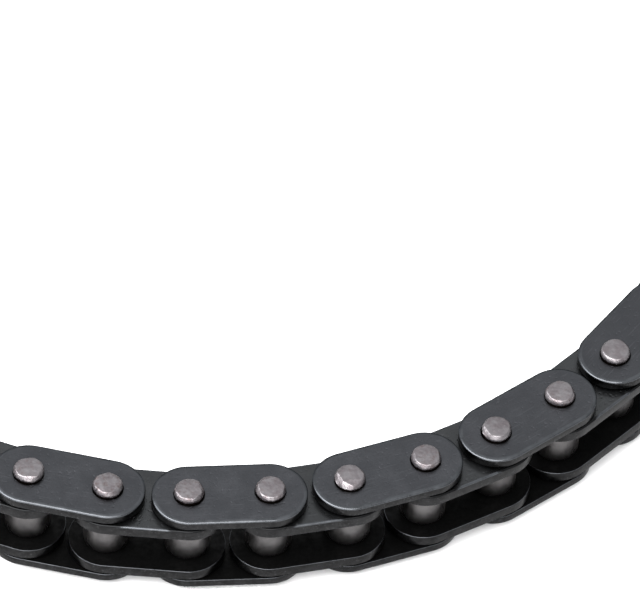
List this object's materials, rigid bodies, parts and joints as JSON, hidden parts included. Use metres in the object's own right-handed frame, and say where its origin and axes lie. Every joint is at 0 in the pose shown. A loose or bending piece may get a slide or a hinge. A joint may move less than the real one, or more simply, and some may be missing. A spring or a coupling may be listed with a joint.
{
  "type": "roller chain",
  "caption": "Strand of dark steel roller chain with riveted pins, free-turning rollers and hinged links, lying flat in the curve it takes round a toothed wheel.",
  "frame": {"origin": "on the plane that the lower pin ends lie on, under the middle of the strand's bounding box", "axes": "+X along the strand from the first link to the last, +Y towards the inside of its curve, +Z along the pins"},
  "size_m": [0.0868, 0.0238, 0.0119],
  "materials": {
    "outer_plate": "blued steel, satin, dark grey, lightly tumbled",
    "inner_plate": "blued steel, satin, dark grey, lightly tumbled",
    "pin": "bare hardened steel with peened ends",
    "bush": "bare steel, oiled",
    "roller": "dark oiled steel, smooth"
  },
  "bodies": {
    "inner_link_01": {"inner_plate_01_top": "inner_plate", "inner_plate_01_bottom": "inner_plate", "bush_01": "bush", "bush_02": "bush"},
    "outer_link_02": {"outer_plate_02_top": "outer_plate", "outer_plate_02_bottom": "outer_plate", "pin_02": "pin", "pin_03": "pin"},
    "inner_link_03": {"inner_plate_03_top": "inner_plate", "inner_plate_03_bottom": "inner_plate", "bush_03": "bush", "bush_04": "bush"},
    "outer_link_04": {"outer_plate_04_top": "outer_plate", "outer_plate_04_bottom": "outer_plate", "pin_04": "pin", "pin_05": "pin"},
    "inner_link_05": {"inner_plate_05_top": "inner_plate", "inner_plate_05_bottom": "inner_plate", "bush_05": "bush", "bush_06": "bush"},
    "outer_link_06": {"outer_plate_06_top": "outer_plate", "outer_plate_06_bottom": "outer_plate", "pin_06": "pin", "pin_07": "pin"},
    "inner_link_07": {"inner_plate_07_top": "inner_plate", "inner_plate_07_bottom": "inner_plate", "bush_07": "bush", "bush_08": "bush"},
    "outer_link_08": {"outer_plate_08_top": "outer_plate", "outer_plate_08_bottom": "outer_plate", "pin_08": "pin", "pin_09": "pin"},
    "inner_link_09": {"inner_plate_09_top": "inner_plate", "inner_plate_09_bottom": "inner_plate", "bush_09": "bush", "bush_10": "bush"},
    "outer_link_10": {"outer_plate_10_top": "outer_plate", "outer_plate_10_bottom": "outer_plate", "pin_10": "pin", "pin_11": "pin"},
    "inner_link_11": {"inner_plate_11_top": "inner_plate", "inner_plate_11_bottom": "inner_plate", "bush_11": "bush", "bush_12": "bush"},
    "free_roller_01": {"roller_01": "roller"},
    "free_roller_02": {"roller_02": "roller"},
    "free_roller_03": {"roller_03": "roller"},
    "free_roller_04": {"roller_04": "roller"},
    "free_roller_05": {"roller_05": "roller"},
    "free_roller_06": {"roller_06": "roller"},
    "free_roller_07": {"roller_07": "roller"},
    "free_roller_08": {"roller_08": "roller"},
    "free_roller_09": {"roller_09": "roller"},
    "free_roller_10": {"roller_10": "roller"},
    "free_roller_11": {"roller_11": "roller"},
    "free_roller_12": {"roller_12": "roller"}
  },
  "joints": [
    {"name": "pin_hinge_07", "type": "hinge", "parent": "outer_link_06", "child": "inner_link_07", "pos_m": [0.004, -0.00814, 0.00595], "axis": [0, 0, 1], "range_deg": [-59.61, 43.25]},
    {"name": "pin_hinge_08", "type": "hinge", "parent": "inner_link_07", "child": "outer_link_08", "pos_m": [0.01192, -0.007, 0.00595], "axis": [0, 0, 1], "range_deg": [-59.61, 43.25]},
    {"name": "pin_hinge_09", "type": "hinge", "parent": "outer_link_08", "child": "inner_link_09", "pos_m": [0.01959, -0.00475, 0.00595], "axis": [0, 0, 1], "range_deg": [-59.61, 43.25]},
    {"name": "pin_hinge_10", "type": "hinge", "parent": "inner_link_09", "child": "outer_link_10", "pos_m": [0.02687, -0.00142, 0.00595], "axis": [0, 0, 1], "range_deg": [-59.61, 43.25]},
    {"name": "pin_hinge_11", "type": "hinge", "parent": "outer_link_10", "child": "inner_link_11", "pos_m": [0.0336, 0.0029, 0.00595], "axis": [0, 0, 1], "range_deg": [-59.61, 43.25]},
    {"name": "pin_hinge_06", "type": "hinge", "parent": "outer_link_06", "child": "inner_link_05", "pos_m": [-0.004, -0.00814, 0.00595], "axis": [0, 0, 1], "range_deg": [-43.25, 59.61]},
    {"name": "pin_hinge_05", "type": "hinge", "parent": "inner_link_05", "child": "outer_link_04", "pos_m": [-0.01192, -0.007, 0.00595], "axis": [0, 0, 1], "range_deg": [-43.25, 59.61]},
    {"name": "pin_hinge_04", "type": "hinge", "parent": "outer_link_04", "child": "inner_link_03", "pos_m": [-0.01959, -0.00475, 0.00595], "axis": [0, 0, 1], "range_deg": [-43.25, 59.61]},
    {"name": "pin_hinge_03", "type": "hinge", "parent": "inner_link_03", "child": "outer_link_02", "pos_m": [-0.02687, -0.00142, 0.00595], "axis": [0, 0, 1], "range_deg": [-43.25, 59.61]},
    {"name": "pin_hinge_02", "type": "hinge", "parent": "outer_link_02", "child": "inner_link_01", "pos_m": [-0.0336, 0.0029, 0.00595], "axis": [0, 0, 1], "range_deg": [-43.25, 59.61]},
    {"name": "roller_spin_01", "type": "hinge", "parent": "inner_link_01", "child": "free_roller_01", "pos_m": [-0.03965, 0.00814, 0.00595], "axis": [0, 0, 1], "continuous": true},
    {"name": "roller_spin_02", "type": "hinge", "parent": "inner_link_01", "child": "free_roller_02", "pos_m": [-0.0336, 0.0029, 0.00595], "axis": [0, 0, 1], "continuous": true},
    {"name": "roller_spin_03", "type": "hinge", "parent": "inner_link_03", "child": "free_roller_03", "pos_m": [-0.02687, -0.00142, 0.00595], "axis": [0, 0, 1], "continuous": true},
    {"name": "roller_spin_04", "type": "hinge", "parent": "inner_link_03", "child": "free_roller_04", "pos_m": [-0.01959, -0.00475, 0.00595], "axis": [0, 0, 1], "continuous": true},
    {"name": "roller_spin_05", "type": "hinge", "parent": "inner_link_05", "child": "free_roller_05", "pos_m": [-0.01192, -0.007, 0.00595], "axis": [0, 0, 1], "continuous": true},
    {"name": "roller_spin_06", "type": "hinge", "parent": "inner_link_05", "child": "free_roller_06", "pos_m": [-0.004, -0.00814, 0.00595], "axis": [0, 0, 1], "continuous": true},
    {"name": "roller_spin_07", "type": "hinge", "parent": "inner_link_07", "child": "free_roller_07", "pos_m": [0.004, -0.00814, 0.00595], "axis": [0, 0, 1], "continuous": true},
    {"name": "roller_spin_08", "type": "hinge", "parent": "inner_link_07", "child": "free_roller_08", "pos_m": [0.01192, -0.007, 0.00595], "axis": [0, 0, 1], "continuous": true},
    {"name": "roller_spin_09", "type": "hinge", "parent": "inner_link_09", "child": "free_roller_09", "pos_m": [0.01959, -0.00475, 0.00595], "axis": [0, 0, 1], "continuous": true},
    {"name": "roller_spin_10", "type": "hinge", "parent": "inner_link_09", "child": "free_roller_10", "pos_m": [0.02687, -0.00142, 0.00595], "axis": [0, 0, 1], "continuous": true},
    {"name": "roller_spin_11", "type": "hinge", "parent": "inner_link_11", "child": "free_roller_11", "pos_m": [0.0336, 0.0029, 0.00595], "axis": [0, 0, 1], "continuous": true},
    {"name": "roller_spin_12", "type": "hinge", "parent": "inner_link_11", "child": "free_roller_12", "pos_m": [0.03965, 0.00814, 0.00595], "axis": [0, 0, 1], "continuous": true}
  ]
}
